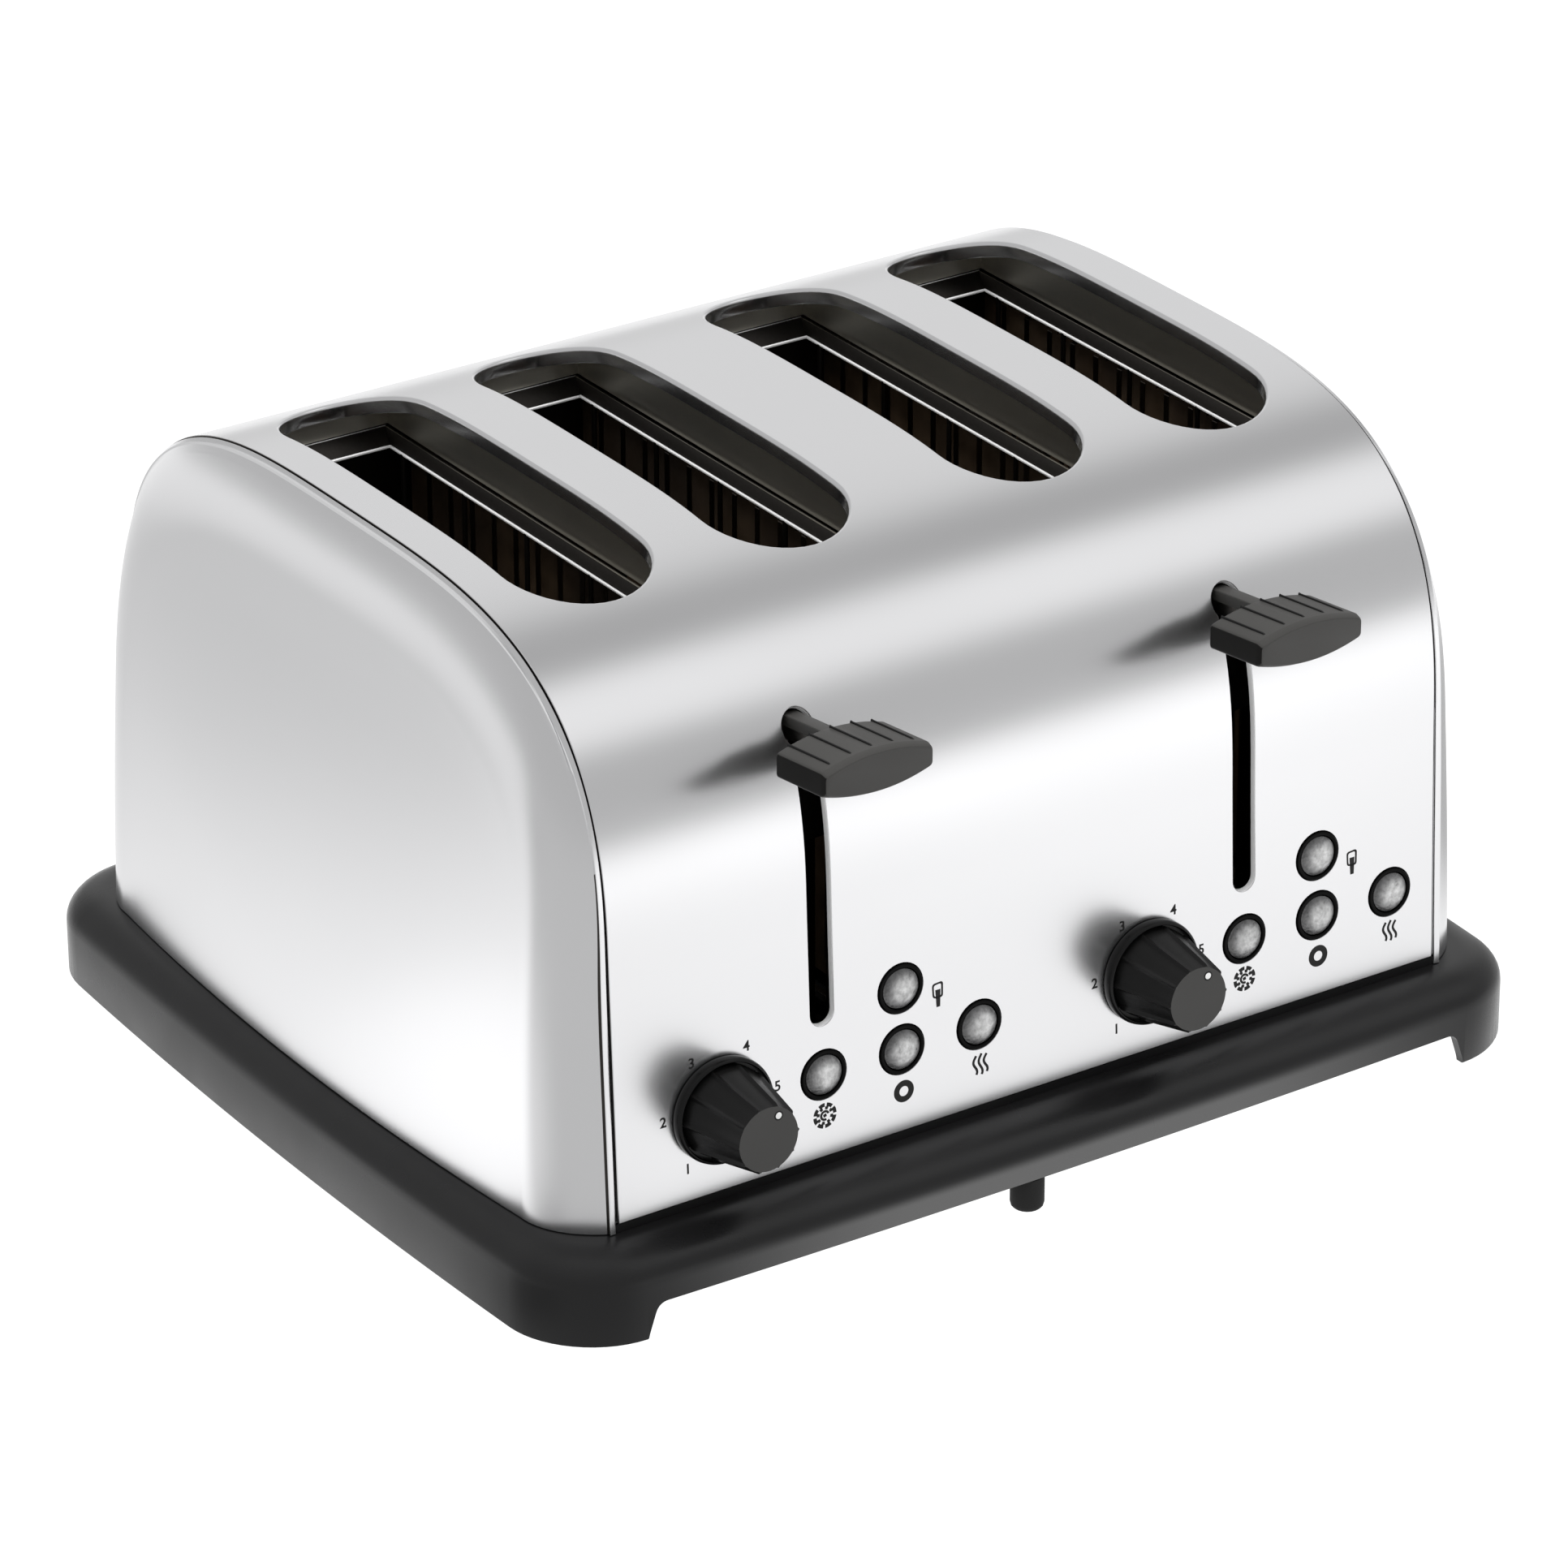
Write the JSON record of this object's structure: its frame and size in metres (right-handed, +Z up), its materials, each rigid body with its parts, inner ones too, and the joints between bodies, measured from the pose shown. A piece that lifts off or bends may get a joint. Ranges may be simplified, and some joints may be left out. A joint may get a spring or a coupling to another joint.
{
  "type": "commercial toaster",
  "caption": "Countertop commercial toaster with an arched satin steel body on a dark plastic base, long bread slots, press-down levers, browning dials and round push buttons.",
  "frame": {"origin": "on the surface that it stands on, under the middle of the whole toaster's outline", "axes": "+X to the right seen from the front, -Y towards the levers and dials, +Z up"},
  "size_m": [0.34, 0.3094, 0.1902],
  "materials": {
    "base_plastic": "satin dark grey moulding",
    "black_plastic": "black moulding",
    "board_green": "green circuit board",
    "bright_steel": "bright plated steel",
    "copper": "copper winding on iron",
    "dark_steel": "dull galvanised steel",
    "handle_plastic": "matte dark grey moulding",
    "lens_plastic": "smoky translucent grey",
    "mica": "brown mica board",
    "rubber": "black rubber",
    "satin_steel": "satin stainless sheet"
  },
  "bodies": {
    "housing": {"base_plinth": "base_plastic", "bottom_plate": "dark_steel", "bread_cage_1": "bright_steel", "bread_cage_2": "bright_steel", "bread_cage_3": "bright_steel", "bread_cage_4": "bright_steel", "button_bezel_left": "black_plastic", "button_bezel_right": "black_plastic", "centre_foot": "rubber", "chassis_front_left": "dark_steel", "chassis_front_right": "dark_steel", "chassis_rear_left": "dark_steel", "chassis_rear_right": "dark_steel", "control_board_left": "board_green", "control_board_right": "board_green", "cord_gland": "rubber", "electromagnet_left": "copper", "electromagnet_right": "copper", "guide_rod_left": "bright_steel", "guide_rod_right": "bright_steel", "heater_board_1": "mica", "heater_board_2": "mica", "heater_board_3": "mica", "heater_board_4": "mica", "heater_board_5": "mica", "heater_board_6": "mica", "knob_collar_left": "black_plastic", "knob_collar_right": "black_plastic", "left_end_cap": "satin_steel", "potentiometer_left": "dark_steel", "potentiometer_right": "dark_steel", "return_spring_left": "bright_steel", "return_spring_right": "bright_steel", "right_end_cap": "satin_steel", "slot_frame_left": "bright_steel", "slot_frame_right": "bright_steel", "wrap_shell": "satin_steel"},
    "lever_left": {"carriage_left": "dark_steel", "lever_handle_left": "handle_plastic", "bread_rack_1": "bright_steel", "bread_rack_2": "bright_steel"},
    "dial_left": {"knob_left": "black_plastic", "potentiometer_shaft_left": "bright_steel"},
    "defrost_left": {"button_defrost_left": "lens_plastic"},
    "cancel_left": {"button_cancel_left": "lens_plastic"},
    "reheat_left": {"button_reheat_left": "lens_plastic"},
    "bagel_left": {"button_bagel_left": "lens_plastic"},
    "tray_left": {"crumb_tray_left": "dark_steel"},
    "lever_right": {"carriage_right": "dark_steel", "lever_handle_right": "handle_plastic", "bread_rack_3": "bright_steel", "bread_rack_4": "bright_steel"},
    "dial_right": {"knob_right": "black_plastic", "potentiometer_shaft_right": "bright_steel"},
    "defrost_right": {"button_defrost_right": "lens_plastic"},
    "cancel_right": {"button_cancel_right": "lens_plastic"},
    "reheat_right": {"button_reheat_right": "lens_plastic"},
    "bagel_right": {"button_bagel_right": "lens_plastic"},
    "tray_right": {"crumb_tray_right": "dark_steel"}
  },
  "joints": [
    {"name": "lever_slide_left", "type": "slide", "parent": "housing", "child": "lever_left", "axis": [0, 0, -1], "range_m": [0, 0.078], "stiffness_N_per_m": 100, "springref_m": -0.03, "deforming": ["return_spring_left"]},
    {"name": "dial_turn_left", "type": "hinge", "parent": "housing", "child": "dial_left", "pos_m": [-0.10485, -0.12818, 0.0531], "axis": [0, -0.9991, 0.0423], "range_deg": [-114.4, 171.6]},
    {"name": "defrost_press_left", "type": "slide", "parent": "housing", "child": "defrost_left", "axis": [0, 0.9991, -0.0423], "range_m": [0, 0.002], "stiffness_N_per_m": 300, "springref_m": -0.003},
    {"name": "cancel_press_left", "type": "slide", "parent": "housing", "child": "cancel_left", "axis": [0, 0.9991, -0.0423], "range_m": [0, 0.002], "stiffness_N_per_m": 300, "springref_m": -0.003},
    {"name": "reheat_press_left", "type": "slide", "parent": "housing", "child": "reheat_left", "axis": [0, 0.9991, -0.0423], "range_m": [0, 0.002], "stiffness_N_per_m": 300, "springref_m": -0.003},
    {"name": "bagel_press_left", "type": "slide", "parent": "housing", "child": "bagel_left", "axis": [0, 0.9991, -0.0423], "range_m": [0, 0.002], "stiffness_N_per_m": 300, "springref_m": -0.003},
    {"name": "tray_slide_left", "type": "slide", "parent": "housing", "child": "tray_left", "axis": [0, 1, 0], "range_m": [0, 0.235]},
    {"name": "lever_slide_right", "type": "slide", "parent": "housing", "child": "lever_right", "axis": [0, 0, -1], "range_m": [0, 0.078], "stiffness_N_per_m": 100, "springref_m": -0.03, "deforming": ["return_spring_right"]},
    {"name": "dial_turn_right", "type": "hinge", "parent": "housing", "child": "dial_right", "pos_m": [0.03785, -0.12818, 0.0531], "axis": [0, -0.9991, 0.0423], "range_deg": [-114.4, 171.6]},
    {"name": "defrost_press_right", "type": "slide", "parent": "housing", "child": "defrost_right", "axis": [0, 0.9991, -0.0423], "range_m": [0, 0.002], "stiffness_N_per_m": 300, "springref_m": -0.003},
    {"name": "cancel_press_right", "type": "slide", "parent": "housing", "child": "cancel_right", "axis": [0, 0.9991, -0.0423], "range_m": [0, 0.002], "stiffness_N_per_m": 300, "springref_m": -0.003},
    {"name": "reheat_press_right", "type": "slide", "parent": "housing", "child": "reheat_right", "axis": [0, 0.9991, -0.0423], "range_m": [0, 0.002], "stiffness_N_per_m": 300, "springref_m": -0.003},
    {"name": "bagel_press_right", "type": "slide", "parent": "housing", "child": "bagel_right", "axis": [0, 0.9991, -0.0423], "range_m": [0, 0.002], "stiffness_N_per_m": 300, "springref_m": -0.003},
    {"name": "tray_slide_right", "type": "slide", "parent": "housing", "child": "tray_right", "axis": [0, 1, 0], "range_m": [0, 0.235]}
  ]
}
